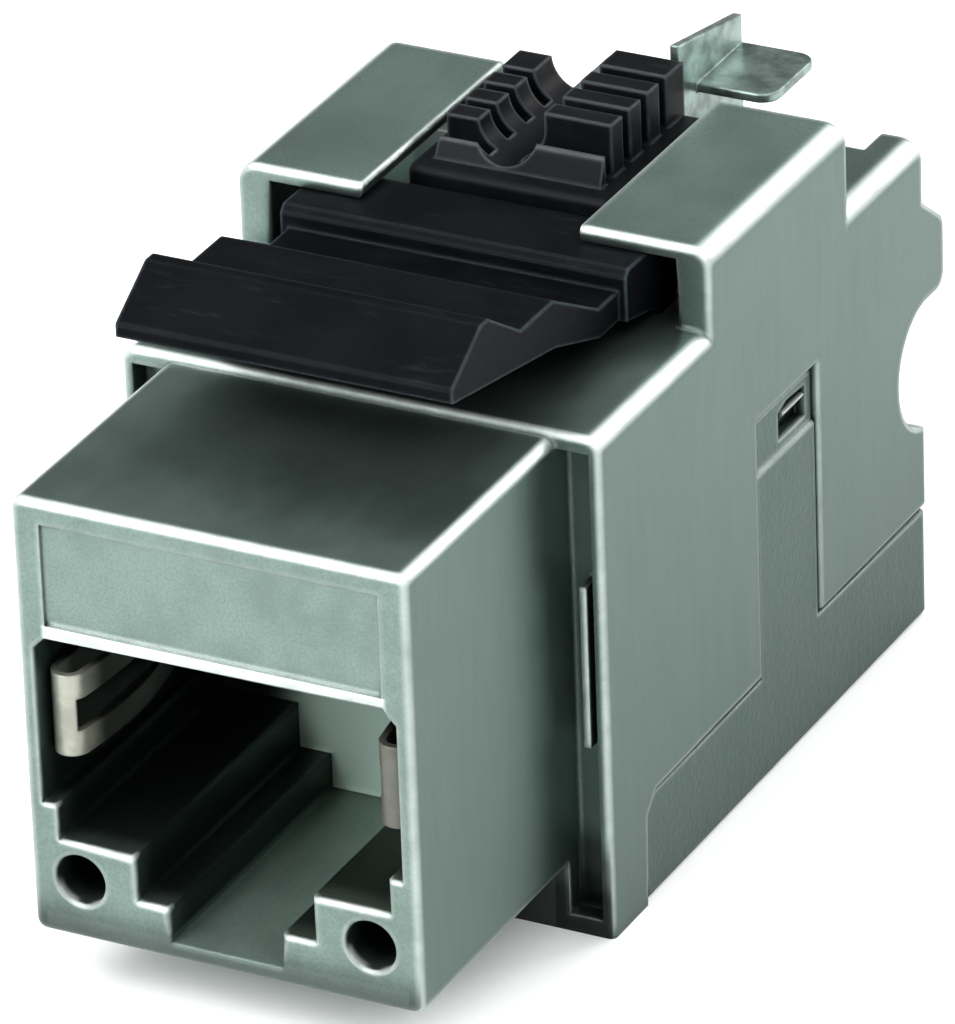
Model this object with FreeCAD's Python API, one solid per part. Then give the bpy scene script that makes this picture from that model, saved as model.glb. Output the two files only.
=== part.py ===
import FreeCAD, Part
import math
import os

# Shielded keystone jack, in millimetres. X is the width, +Y runs from the plug face to the rear,
# +Z is up, and the origin lies under the middle of the part, on the face that it rests on.

# Nose that passes through the panel
nose_width = 14.5
nose_height = 16.2
nose_length = 10.6
nose_round = 0.4
nose_face_round = 0.3
port_face_wall = 1.2
nose_top_wall = 0.8

# Body behind the panel
body_width = 17.8
body_length = 25.1
catch_drop = 2.35
shelf_rise = 0.25
side_wall = 1.1
roof = 1.1
shelf_round = 0.6
shoulder_round = 0.25

# Plug port, as it is cut through the front face; heights are above the underside of the nose
port_width = 13.4
port_throat_width = 12.3
port_height = 11.15
port_corner = 0.45
throat_height = 4.9
ledge_height = 3.6
ledge_gap = 6.6
step_height = 1.9
tab_gap = 4.2
tab_floor = 0.6
port_depth = 11.6
bulkhead = 1.0
bulkhead_height = 8.2

# Peg holes in the two blocks under the port
peg_radius = 0.95
peg_depth = 4.0
peg_spacing = 10.8
peg_height = 2.25

# Sunk label field above the port
label_width = 12.4
label_height = 3.75
label_gap = 0.45
label_sink = 0.15

# Pockets in the shoulder beside the nose
pocket_width = 1.25
pocket_depth = 0.9
pocket_rim = 0.6
pocket_rib = 0.25
pocket_rib_base = 7.2
pocket_rib_length = 6.0

# Hook under the nose, which holds the lower edge of the panel
hook_width = 9.0
hook_drop = 1.0
hook_length = 1.4
panel_gap = 1.9

# Rails that hold the latch
rail_height = 3.05
rail_setback = 8.45
rail_length = 10.6
rail_mouth = 8.2
rail_lip = 0.5
rail_wall = 1.25
rail_round = 0.75
rail_face_round = 0.22

# Rear of the body
deck_drop = 0.2
ear_width = 1.6
ear_reach = 1.7
ear_root_height = 16.2
ear_slope = 1.3
notch_radius = 2.45
notch_height = 9.9
notch_offset = 0.35
rear_recess = 1.3
rear_wall = 1.2

# Lower cover and the arms that snap it to the body
cover_setback = 2.7
cover_height = 4.1
cover_rear_height = 4.4
cover_floor = 1.1
cover_wall = 1.0
cover_inset = 0.12
cover_chamfer = 0.7
seam = 0.14
arm_width = 4.5
arm_setback = 11.9
arm_height = 11.85
arm_thickness = 0.55
tip_height = 1.95
tip_thickness = 0.42
window_width = 2.1
window_height = 1.15
window_setback = 1.95
window_rise = 0.35
barb_clearance = 0.2

# Latch lever
lever_width = 12.4
root_width = 13.0
root_length = 2.9
tip_reach = 4.95
tip_lift = 3.1
tip_edge = 0.5
tooth_length = 2.45
tooth_height = 1.35
saddle_length = 2.5
ridge_length = 2.35
ridge_lift = 3.5
neck_reach = 4.3
neck_lift = 0.62
neck_thickness = 1.1
belly_lift = 1.75
axle_setback = 9.9
axle_clearance = 0.06
cradle_depth = 0.25
bead_leave_deg = 45.0

# Contact insert
insert_clearance = 0.05
tongue_width = 12.4
tongue_setback = 0.2
tongue_lift = 0.2
groove_width = 0.6
groove_depth = 0.85
comb_depth = 0.9
carrier_clearance = 0.08
carrier_length = 18.0
carrier_wall = 1.2
carrier_plate = 2.0
tail_well = 0.7

# Contact wires
contact_count = 8
contact_pitch = 1.016
wire_width = 0.45
wire_thickness = 0.3
wire_bend = 0.7
wire_bend_setback = 2.2
wire_droop_deg = 10.0
wire_end_reach = 0.5
tail_setback = 15.0
tail_stagger = 2.2
tail_bend = 0.4
tail_proud = 0.5

# Circuit board
board_thickness = 1.0
board_side_gap = 0.6
board_lift = 0.3
board_length = 17.5
board_hole = 0.34

# Terminal block and its forked terminals
block_width = 7.4
block_setback = 22.5
block_rise = 1.5
block_end_wall = 0.5
terminals_per_row = 4
terminal_pitch = 1.4
terminal_width = 0.9
terminal_thickness = 0.35
terminal_tail = 0.45
terminal_row_spacing = 4.0
terminal_proud = 0.8
terminal_fork = 0.3
terminal_fork_depth = 2.0
terminal_clearance = 0.08

# Wire manager over the terminals
manager_clearance = 0.2
manager_overhang = 0.4
manager_gap = 0.05
manager_nose = 0.9
manager_nose_height = 0.9
left_comb_reach = 3.4
left_comb_height = 2.15
right_comb_reach = 2.9
right_comb_height = 2.85
comb_slope = 0.8
comb_slot = 0.55
channel_radius = 1.25
channel_offset = 0.9
channel_floor = 1.0

# Shield clip, folded from sheet and staked to the rear deck
clip_sheet = 0.35
clip_setback = 0.1
clip_length = 5.0
clip_width = 5.2
clip_bend = 0.6
cheek_height = 5.0
cheek_fall = 0.9
low_cheek_height = 1.6
flange_width = 2.9
flange_height = 2.7
flange_length = 3.7
flange_corner = 0.7
stake_radius = 0.8
stake_head_radius = 1.15
stake_head = 0.3
stake_clearance = 0.05

# Shield springs in the port
spring_sheet = 0.25
spring_height = 3.0
spring_base = 6.5
spring_setback = 0.6
spring_bend = 0.5
spring_tail = 8.0
spring_leaf = 6.6
spring_bulge = 0.2
spring_return = 0.35
spring_slot = 1.2
spring_slot_start = 0.8

# Planes that follow from the sizes above
overall_length = nose_length + body_length + ear_reach
nose_front = -overall_length / 2
shoulder = nose_front + nose_length
body_rear = shoulder + body_length
half_body = body_width / 2
nose_bottom = catch_drop
nose_top = nose_bottom + nose_height
shelf_top = nose_top + shelf_rise
port_top = nose_bottom + port_height
bulkhead_front = nose_front + port_depth
bulkhead_rear = bulkhead_front + bulkhead
bulkhead_top = nose_bottom + bulkhead_height
nose_ceiling = nose_top - nose_top_wall
roof_under = shelf_top - roof
cavity_half = half_body - side_wall
board_half = cavity_half - board_side_gap
cavity_rear = body_rear - rear_recess - rear_wall
rail_front = shoulder + rail_setback
rail_rear = rail_front + rail_length
rail_top = shelf_top + rail_height
lip_under = rail_top - rail_lip
deck_top = shelf_top - deck_drop
cover_front = shoulder + cover_setback
cover_half = half_body - cover_inset
carrier_half = cover_half - cover_wall - carrier_clearance
arm_front = shoulder + arm_setback
arm_rear = arm_front + arm_width
arm_inner = cover_half - arm_thickness
arm_bed = arm_inner - insert_clearance
arm_top = arm_height + tip_height
axle_y = shoulder + axle_setback
axle_bore = (rail_height - rail_lip + cradle_depth) / 2
axle_radius = axle_bore - axle_clearance
axle_z = shelf_top - cradle_depth + axle_bore
wire_run = port_top + groove_depth - 0.1 - wire_thickness / 2
board_bottom = wire_run + wire_thickness / 2 + board_lift
board_top = board_bottom + board_thickness
board_front = bulkhead_rear + insert_clearance
block_front = nose_front + block_setback
block_rear = block_front + terminals_per_row * terminal_pitch + 2 * block_end_wall
block_top = shelf_top + block_rise
manager_front = block_front - manager_overhang
manager_rear = block_rear + manager_overhang
manager_bottom = block_top + manager_gap
manager_half = rail_mouth / 2 - manager_clearance
clip_front = rail_rear + clip_setback
clip_rear = clip_front + clip_length
contact_places = [(n - (contact_count - 1) / 2) * contact_pitch for n in range(contact_count)]
terminal_places = [
    (side * terminal_row_spacing / 2, block_front + block_end_wall + (n + 0.5) * terminal_pitch)
    for side in (-1, 1)
    for n in range(terminals_per_row)
]


def box(x0, x1, y0, y1, z0, z1):
    return Part.makeBox(x1 - x0, y1 - y0, z1 - z0, FreeCAD.Vector(x0, y0, z0))


def middle_box(half_width, y0, y1, z0, z1):
    return box(-half_width, half_width, y0, y1, z0, z1)


def upright(x, y, radius, z0, z1):
    return Part.makeCylinder(radius, z1 - z0, FreeCAD.Vector(x, y, z0))


def cross_bar(half_width, y, z, radius):
    start = FreeCAD.Vector(-half_width, y, z)
    return Part.makeCylinder(radius, 2 * half_width, start, FreeCAD.Vector(1, 0, 0))


def edges_of(place, steps):
    """Edges through the steps: a pair is the end of a line, four values an arc by way of a point."""
    here = place(*steps[0])
    edges = []
    for step in steps[1:]:
        end = place(*step[-2:])
        if len(step) == 4:
            edges.append(Part.Arc(here, place(*step[:2]), end).toShape())
        else:
            edges.append(Part.makeLine(here, end))
        here = end
    return edges


def side_profile(x0, x1, steps):
    """Outline in Y and Z, carried from x0 to x1."""
    edges = edges_of(lambda y, z: FreeCAD.Vector(x0, y, z), steps + [steps[0]])
    return Part.Face(Part.Wire(edges)).extrude(FreeCAD.Vector(x1 - x0, 0, 0))


def front_profile(y0, y1, steps):
    """Outline in X and Z, carried from y0 to y1."""
    edges = edges_of(lambda x, z: FreeCAD.Vector(x, y0, z), steps + [steps[0]])
    return Part.Face(Part.Wire(edges)).extrude(FreeCAD.Vector(0, y1 - y0, 0))


def mirrored(shape):
    return shape.mirror(FreeCAD.Vector(0, 0, 0), FreeCAD.Vector(1, 0, 0))


def both_sides(shape):
    return [shape, mirrored(shape)]


def rounded(shape, radius, direction, chosen):
    """Round the straight edges along a direction whose middle passes the test."""
    edges = []
    for edge in shape.Edges:
        ends = [vertex.Point for vertex in edge.Vertexes]
        if len(ends) == 2 and (ends[1] - ends[0]).cross(direction).Length < 1e-6:
            if chosen(edge.CenterOfMass):
                edges.append(edge)
    return shape.makeFillet(radius, edges)


ALONG_X = FreeCAD.Vector(1, 0, 0)
ALONG_Y = FreeCAD.Vector(0, 1, 0)
ALONG_Z = FreeCAD.Vector(0, 0, 1)


def strip(steps, place, profile):
    """Sheet or wire of constant section, swept along the steps."""
    path = Part.Wire(edges_of(place, steps))
    return path.makePipeShell([profile], True, True)


def nose():
    """Square nose with its label field and the hook for the panel's lower edge."""
    block = middle_box(nose_width / 2, nose_front, bulkhead_rear, nose_bottom, nose_top)
    block = rounded(block, nose_round, ALONG_Y, lambda middle: True)
    block = rounded(block, nose_face_round, ALONG_X, lambda middle: middle.y < shoulder)
    field = middle_box(
        label_width / 2, nose_front - 1, nose_front + label_sink,
        port_top + label_gap, port_top + label_gap + label_height,
    )
    hook_rear = shoulder - panel_gap
    hook = side_profile(-hook_width / 2, hook_width / 2, [
        (hook_rear - hook_length, nose_bottom + nose_round),
        (hook_rear - hook_length, nose_bottom),
        (hook_rear - hook_length / 2, nose_bottom - hook_drop),
        (hook_rear, nose_bottom - hook_drop),
        (hook_rear, nose_bottom + nose_round),
    ])
    return block.cut(field).fuse(hook)


def body_block():
    """Outside of the body: shelf, raised rails and rear deck in one side outline."""
    block = side_profile(-half_body, half_body, [
        (shoulder, 0),
        (shoulder, shelf_top),
        (rail_front, shelf_top),
        (rail_front, rail_top),
        (rail_rear, rail_top),
        (rail_rear, deck_top),
        (body_rear, deck_top),
        (body_rear, 0),
    ])
    block = rounded(block, rail_round, ALONG_Y, lambda middle: middle.z > rail_top - 0.01)
    block = rounded(block, shelf_round, ALONG_Y, lambda middle: abs(middle.z - shelf_top) < 0.01)
    block = rounded(block, rail_round, ALONG_Y, lambda middle: abs(middle.z - deck_top) < 0.01)
    block = rounded(block, shoulder_round, ALONG_Z, lambda middle: middle.y < shoulder + 0.01)
    block = rounded(
        block, rail_face_round, ALONG_X,
        lambda middle: middle.z > rail_top - 0.01 and middle.y < rail_rear - 0.01,
    )
    recess_half = half_body - ear_width
    return block.cut(middle_box(recess_half, body_rear - rear_recess, body_rear + 1, -1, rail_top))


def ear():
    """Side ear that stands out behind the body, with the round notch under it."""
    tip = body_rear + ear_reach
    foot = notch_height + notch_radius
    shape = side_profile(half_body - ear_width, half_body, [
        (body_rear - 1, foot),
        (body_rear - 1, ear_root_height),
        (body_rear, ear_root_height),
        (tip, ear_root_height - ear_slope),
        (tip, foot),
    ])
    return rounded(shape, shelf_round, ALONG_X, lambda middle: middle.y > tip - 0.01)


def ear_notch():
    centre = FreeCAD.Vector(half_body - ear_width - 0.01, body_rear + notch_offset, notch_height)
    return Part.makeCylinder(notch_radius, ear_width + 1, centre, ALONG_X)


def port_cut():
    """Stepped port: plug space, throat, ledges and the channel of the plug's tab."""
    right = [
        (tab_gap / 2, nose_bottom + tab_floor),
        (tab_gap / 2, nose_bottom + step_height),
        (ledge_gap / 2, nose_bottom + step_height),
        (ledge_gap / 2, nose_bottom + ledge_height),
        (port_throat_width / 2, nose_bottom + ledge_height),
        (port_throat_width / 2, nose_bottom + throat_height),
        (port_width / 2, nose_bottom + throat_height),
        (port_width / 2, port_top - port_corner),
        (port_width / 2 - port_corner, port_top),
    ]
    left = [(-x, z) for x, z in reversed(right)]
    return front_profile(nose_front - 1, bulkhead_front, right + left)


def nose_cuts():
    """Space over the port for the contact insert, and the two peg holes."""
    half = tongue_width / 2 + insert_clearance
    over = middle_box(half, nose_front + port_face_wall, bulkhead_rear, port_top - 1, nose_ceiling)
    window = middle_box(half, bulkhead_front - 1, bulkhead_rear, bulkhead_top, nose_ceiling)
    cuts = [port_cut(), over, window]
    for x in (-peg_spacing / 2, peg_spacing / 2):
        mouth = FreeCAD.Vector(x, nose_front - 1, nose_bottom + peg_height)
        cuts.append(Part.makeCylinder(peg_radius, peg_depth + 1, mouth, ALONG_Y))
    return cuts


def shoulder_pocket():
    """Pocket beside the nose, with a slim rib left standing at its outer side."""
    x0 = nose_width / 2
    x1 = x0 + pocket_width
    y1 = shoulder + pocket_depth
    pocket = box(x0, x1, shoulder - 1, y1, pocket_rim, shelf_top - pocket_rim)
    rib_top = pocket_rib_base + pocket_rib_length
    rib = box(x1 - 2 * pocket_rib, x1 - pocket_rib, shoulder, y1, pocket_rib_base, rib_top)
    return pocket.cut(rib)


def rail_cuts():
    """Slot under the lips, the mouth between them and the cradle for the root of the lever."""
    slot_half = half_body - rail_wall
    slot = middle_box(slot_half, rail_front - 1, rail_rear + 1, shelf_top, lip_under)
    mouth = middle_box(rail_mouth / 2, rail_front - 1, rail_rear + 1, shelf_top, rail_top + 1)
    cradle = cross_bar(root_width / 2 + manager_clearance, axle_y, axle_z, axle_bore)
    return [slot, mouth, cradle]


def cover_outline(grow, rear, low):
    """Side outline of the cover below its arms, grown by a gap on its front and upper edges."""
    front = cover_front + seam - grow
    top = cover_height - seam + grow
    return [
        (front, low),
        (front, top - cover_chamfer),
        (front + cover_chamfer, top),
        (arm_rear - grow, top),
        (arm_rear - grow, cover_rear_height - seam + grow),
        (rear, cover_rear_height - seam + grow),
        (rear, low),
    ]


def cover_cuts():
    """Room for the lower cover and for its arms."""
    low = side_profile(-half_body - 1, half_body + 1, cover_outline(seam, body_rear + 1, -1))
    bed = box(arm_bed, half_body + 1, arm_front - seam, arm_rear + seam, 0, arm_top + seam)
    return [low] + both_sides(bed)


def barb():
    """Wedge in the bed of the arm: a ramp from below and a flat catch on top."""
    y0 = arm_front + window_setback + barb_clearance
    y1 = y0 + window_width - 2 * barb_clearance
    z0 = arm_height + window_rise + barb_clearance
    z1 = z0 + window_height - 2 * barb_clearance
    foot = arm_bed - side_wall / 4
    return front_profile(y0, y1, [(foot, z0), (arm_bed, z0), (cover_half, z1), (foot, z1)])


def stake():
    y = (clip_front + clip_rear) / 2
    sheet_top = deck_top + clip_sheet
    shank = upright(0, y, stake_radius, deck_top - roof / 2, sheet_top)
    return shank.fuse(upright(0, y, stake_head_radius, sheet_top, sheet_top + stake_head))


def main_housing():
    body = body_block().fuse(both_sides(ear()))
    body = body.cut(both_sides(shoulder_pocket()) + both_sides(ear_notch()) + rail_cuts())
    cavity = middle_box(cavity_half, bulkhead_rear, cavity_rear, cover_floor, roof_under)
    body = body.cut([cavity] + cover_cuts())
    body = body.fuse(nose()).cut(nose_cuts())
    gap = terminal_clearance
    aperture = middle_box(block_width / 2 + gap, block_front - gap, block_rear + gap, 0, shelf_top + 1)
    return body.cut(aperture).fuse(both_sides(barb()) + [stake()]).removeSplitter()


def cover_side():
    """Side wall of the cover with the snap arm that rises from it."""
    wall = side_profile(cover_half - cover_wall, cover_half, cover_outline(0, body_rear, 0))
    arm = box(arm_inner, cover_half, arm_front, arm_rear, cover_floor, arm_height)
    arm = rounded(arm, tip_thickness / 2, ALONG_Y, lambda middle: middle.z > arm_height - 0.01)
    tip = box(arm_inner, arm_inner + tip_thickness, arm_front, arm_rear, cover_floor, arm_top)
    window_y = arm_front + window_setback
    window_z = arm_height + window_rise
    window = box(
        arm_inner - 1, half_body, window_y, window_y + window_width,
        window_z, window_z + window_height,
    )
    return wall.fuse([arm, tip]).cut(window)


def lower_cover():
    front = cover_front + seam
    floor = middle_box(cover_half, front, body_rear, 0, cover_floor)
    rear = middle_box(cover_half, body_rear - cover_wall, body_rear, 0, cover_rear_height - seam)
    shape = floor.fuse([rear] + both_sides(cover_side())).removeSplitter()
    return rounded(shape, shoulder_round, ALONG_Y, lambda middle: middle.z < 0.01)


def latch_lever():
    """Lever with a tooth and a finger ridge, and a round root that rocks under the rail lips."""
    tip = shoulder - tip_reach
    tip_z = shelf_top + tip_lift
    tooth = tip + tooth_length
    saddle = tooth + saddle_length
    ridge = saddle + ridge_length
    ridge_z = shelf_top + ridge_lift
    neck = axle_y - neck_reach
    neck_z = shelf_top + neck_lift
    root = axle_y - root_length
    leave = math.radians(bead_leave_deg)
    low = (axle_y - axle_radius * math.sin(leave), axle_z - axle_radius * math.cos(leave))
    head = side_profile(-lever_width / 2, lever_width / 2, [
        (tip, tip_z),
        (tip, tip_z + tip_edge),
        (tooth - tip_edge / 2, tip_z + tip_edge + tooth_height),
        (tooth + tip_edge / 2, tip_z + tip_edge + tooth_height),
        (saddle, ridge_z),
        (ridge, ridge_z),
        (neck, neck_z + neck_thickness),
        (root + tip_edge, neck_z + neck_thickness),
        (root + tip_edge, neck_z),
        (neck, neck_z),
        (ridge, shelf_top + belly_lift),
    ])
    top = axle_z + axle_radius
    base = side_profile(-root_width / 2, root_width / 2, [
        (root, neck_z),
        (root, top - tip_edge / 2),
        (root + tip_edge / 2, top),
        (axle_y, top),
        (axle_y + axle_radius, axle_z) + low,
    ])
    shape = head.fuse(base).removeSplitter()
    return rounded(shape, tip_edge / 3, ALONG_X, lambda middle: middle.z > ridge_z - 0.01)


def contact_insert():
    """Moulded carrier: grooved tongue over the port, comb for the wire ends and board seat."""
    half = tongue_width / 2
    y0 = nose_front + port_face_wall + tongue_setback
    ceiling = nose_ceiling - insert_clearance
    rear = board_front
    tongue = middle_box(half, y0, rear, port_top + tongue_lift, min(ceiling, roof_under))
    comb_z = bulkhead_top + insert_clearance
    comb = middle_box(half, bulkhead_front, rear, comb_z, port_top + tongue_lift)
    y1 = rear + carrier_length
    floor = cover_floor + insert_clearance
    carrier = middle_box(carrier_half, rear, y1, floor, board_bottom)
    hollow = middle_box(
        carrier_half - carrier_wall, rear + carrier_wall, y1 - carrier_wall,
        floor - 1, board_bottom - carrier_plate,
    )
    shape = carrier.cut(hollow).fuse([tongue, comb])
    cuts = []
    for x in contact_places:
        x0 = x - groove_width / 2
        x1 = x + groove_width / 2
        run_end = nose_front + tail_setback + tail_stagger + wire_width
        cuts.append(box(x0, x1, y0 - 1, rear, port_top - 1, port_top + groove_depth))
        cuts.append(box(x0, x1, bulkhead_front - 1, bulkhead_front + comb_depth, comb_z - 1, port_top))
        cuts.append(box(x0, x1, rear - 1, run_end, wire_run - wire_thickness, board_bottom + 0.01))
    for side in (-1, 1):
        x = side * terminal_row_spacing / 2
        well = box(
            x - terminal_width / 2, x + terminal_width / 2, block_front, block_rear,
            board_bottom - tail_well, board_bottom + 0.01,
        )
        cuts.append(well)
    return shape.cut(cuts).removeSplitter()


def contact_tail_y(number):
    return nose_front + tail_setback + tail_stagger * (number % 2)


def contact_wire(number):
    """Spring wire: soldered tail, straight run, tight bend and the drooping free end."""
    x = contact_places[number]
    tail = contact_tail_y(number)
    bend = nose_front + wire_bend_setback
    centre = wire_run - wire_bend
    last = math.radians(270 - wire_droop_deg)
    middle = (math.radians(90) + last) / 2
    exit_y = bend + wire_bend * math.cos(last)
    exit_z = centre + wire_bend * math.sin(last)
    end_y = bulkhead_front + wire_end_reach
    end_z = exit_z - (end_y - exit_y) * math.tan(math.radians(wire_droop_deg))
    soft = tail_bend * (1 - math.sqrt(0.5))
    steps = [
        (tail, board_top + tail_proud),
        (tail, wire_run + tail_bend),
        (tail - soft, wire_run + soft, tail - tail_bend, wire_run),
        (bend, wire_run),
        (bend + wire_bend * math.cos(middle), centre + wire_bend * math.sin(middle), exit_y, exit_z),
        (end_y, end_z),
    ]
    half_x = wire_width / 2
    half_y = wire_thickness / 2
    top = board_top + tail_proud
    corners = [(-half_x, -half_y), (half_x, -half_y), (half_x, half_y), (-half_x, half_y)]
    points = [FreeCAD.Vector(x + dx, tail + dy, top) for dx, dy in corners]
    section = Part.makePolygon(points + [points[0]])
    return strip(steps, lambda y, z: FreeCAD.Vector(x, y, z), section)


def circuit_board():
    board = middle_box(board_half, board_front, board_front + board_length, board_bottom, board_top)
    holes = []
    for number, x in enumerate(contact_places):
        holes.append(upright(x, contact_tail_y(number), board_hole, board_bottom - 1, board_top + 1))
    for x, y in terminal_places:
        holes.append(upright(x, y, board_hole, board_bottom - 1, board_top + 1))
    return board.cut(holes)


def idc_block():
    """Block that stands through the roof and holds the forked terminals."""
    block = middle_box(block_width / 2, block_front, block_rear, board_top, block_top)
    half_x = terminal_thickness / 2 + terminal_clearance
    half_y = terminal_width / 2 + terminal_clearance
    pockets = []
    for x, y in terminal_places:
        pockets.append(box(x - half_x, x + half_x, y - half_y, y + half_y, board_top - 1, block_top + 1))
    return block.cut(pockets)


def idc_terminal(place):
    """Flat terminal with a fork that grips the wire and a tail through the board."""
    x, y = place
    half_x = terminal_thickness / 2
    half_y = terminal_width / 2
    fork = terminal_fork / 2
    top = block_top + terminal_proud
    root = top - terminal_fork_depth
    tail = terminal_tail / 2
    return side_profile(x - half_x, x + half_x, [
        (y - tail, board_bottom - tail_well / 2),
        (y - tail, board_top),
        (y - half_y, board_top),
        (y - half_y, top - fork),
        (y - half_y + fork, top),
        (y - fork, top - fork),
        (y - fork, root),
        (y, root - fork, y + fork, root),
        (y + fork, top - fork),
        (y + half_y - fork, top),
        (y + half_y, top - fork),
        (y + half_y, board_top),
        (y + tail, board_top),
        (y + tail, board_bottom - tail_well / 2),
    ])


def wire_manager():
    """Cap over the terminals: low nose, two combs and the round channel between them."""
    z = manager_bottom
    nose_z = z + manager_nose_height
    comb_front = manager_front + manager_nose
    base = middle_box(manager_half, manager_front, manager_rear, z, nose_z)
    base = rounded(base, manager_nose_height / 4, ALONG_X, lambda middle: middle.z > nose_z - 0.01)

    def comb(x0, x1, height):
        return side_profile(x0, x1, [
            (comb_front, z),
            (comb_front, nose_z),
            (comb_front + comb_slope, z + height),
            (manager_rear, z + height),
            (manager_rear, z),
        ])

    trough = z + channel_floor + channel_radius
    left = -channel_offset - channel_radius
    right = channel_radius - channel_offset
    cuts = [front_profile(manager_front - 1, manager_rear + 1, [
        (right, trough + right_comb_height),
        (right, trough),
        (-channel_offset, trough - channel_radius, left, trough),
        (left, trough + right_comb_height),
    ])]
    half_x = terminal_thickness / 2 + terminal_clearance
    half_y = terminal_width / 2 + terminal_clearance
    pocket_top = block_top + terminal_proud + manager_clearance
    slot_top = z + right_comb_height + 1
    for x, y in terminal_places:
        cuts.append(box(x - half_x, x + half_x, y - half_y, y + half_y, z - 1, pocket_top))
        y0 = y - comb_slot / 2
        if x < 0:
            slot_end = (left - channel_offset) / 2
            cuts.append(box(-manager_half, slot_end, y0, y0 + comb_slot, nose_z, slot_top))
        else:
            slot_end = (right - channel_offset) / 2
            cuts.append(box(slot_end, manager_half, y0, y0 + comb_slot, nose_z, slot_top))
    combs = [
        comb(-left_comb_reach, -channel_offset, left_comb_height),
        comb(-channel_offset, right_comb_reach, right_comb_height),
    ]
    return base.fuse(combs).cut(cuts).removeSplitter()


def shield_clip():
    """Folded sheet: foot on the deck, a low and a tall cheek, and a flange turned outwards."""
    half = clip_width / 2
    sheet = clip_sheet
    bend = clip_bend
    inner = bend - sheet
    diagonal = 1 - math.sqrt(0.5)
    outer_mid = bend * diagonal
    inner_mid = sheet + inner * diagonal
    z = deck_top
    fold = front_profile(clip_front, clip_rear, [
        (-half, z + low_cheek_height),
        (-half, z + bend),
        (-half + outer_mid, z + outer_mid, -half + bend, z),
        (half - bend, z),
        (half - outer_mid, z + outer_mid, half, z + bend),
        (half, z + cheek_height),
        (half - sheet, z + cheek_height),
        (half - sheet, z + bend),
        (half - inner_mid, z + inner_mid, half - bend, z + sheet),
        (-half + bend, z + sheet),
        (-half + inner_mid, z + inner_mid, -half + sheet, z + bend),
        (-half + sheet, z + low_cheek_height),
    ])
    fall = side_profile(half - bend, half + 1, [
        (clip_front - 1, z + cheek_height + 1),
        (clip_front - 1, z + cheek_height),
        (clip_front, z + cheek_height),
        (clip_rear, z + cheek_height - cheek_fall),
        (clip_rear + 1, z + cheek_height - cheek_fall),
        (clip_rear + 1, z + cheek_height + 1),
    ])
    y1 = clip_rear
    y0 = y1 - flange_length
    flange_z = z + flange_height
    flange = box(half - sheet / 2, half + flange_width, y0, y1, flange_z, flange_z + sheet)
    flange = rounded(flange, flange_corner, ALONG_Z, lambda middle: middle.x > half + sheet)
    y = (clip_front + clip_rear) / 2
    hole = upright(0, y, stake_radius + stake_clearance, z - 1, z + sheet + 1)
    return fold.cut([fall, hole]).fuse(flange).removeSplitter()


def shield_spring():
    """Right-hand spring: a leaf on the port wall, folded at the mouth into two gripping fingers."""
    wall = port_width / 2
    sheet = spring_sheet
    z0 = nose_bottom + spring_base
    outer = wall - sheet / 2
    inner = outer - 2 * spring_bend
    bend = nose_front + spring_setback + sheet / 2 + spring_bend
    steps = [
        (outer, bend + spring_tail),
        (outer, bend),
        (outer - spring_bend, bend - spring_bend, inner, bend),
        (inner - spring_bulge, bend + spring_leaf / 2, inner + spring_return, bend + spring_leaf),
    ]
    y = bend + spring_tail
    points = [
        FreeCAD.Vector(outer - sheet / 2, y, z0),
        FreeCAD.Vector(outer + sheet / 2, y, z0),
        FreeCAD.Vector(outer + sheet / 2, y, z0 + spring_height),
        FreeCAD.Vector(outer - sheet / 2, y, z0 + spring_height),
    ]
    section = Part.makePolygon(points + [points[0]])
    middle_z = z0 + spring_height / 2
    leaf = strip(steps, lambda x, y: FreeCAD.Vector(x, y, z0 + spring_height / 2), section)
    slot = box(
        0, outer - sheet, nose_front + spring_slot_start, y + 1,
        middle_z - spring_slot / 2, middle_z + spring_slot / 2,
    )
    return leaf.cut(slot)


def write_parts():
    pieces = {
        "main_housing": main_housing(),
        "lower_cover": lower_cover(),
        "latch_lever": latch_lever(),
        "contact_insert": contact_insert(),
        "circuit_board": circuit_board(),
        "idc_block": idc_block(),
        "wire_manager": wire_manager(),
        "shield_clip": shield_clip(),
        "shield_spring_right": shield_spring(),
        "shield_spring_left": mirrored(shield_spring()),
    }
    for number in range(contact_count):
        pieces[f"contact_wire_{number + 1}"] = contact_wire(number)
    for number, place in enumerate(terminal_places):
        pieces[f"idc_terminal_{number + 1}"] = idc_terminal(place)
    os.makedirs("parts", exist_ok=True)
    for name, shape in pieces.items():
        shape.exportStep(f"parts/{name}.step")
        print(name, len(shape.Solids), shape.isValid(), round(shape.Volume, 2))


write_parts()
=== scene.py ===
import math

import bmesh
import bpy
from bpy.props import FloatProperty, FloatVectorProperty, PointerProperty
from mathutils import Matrix, Vector
from mathutils.geometry import intersect_point_line


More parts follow.
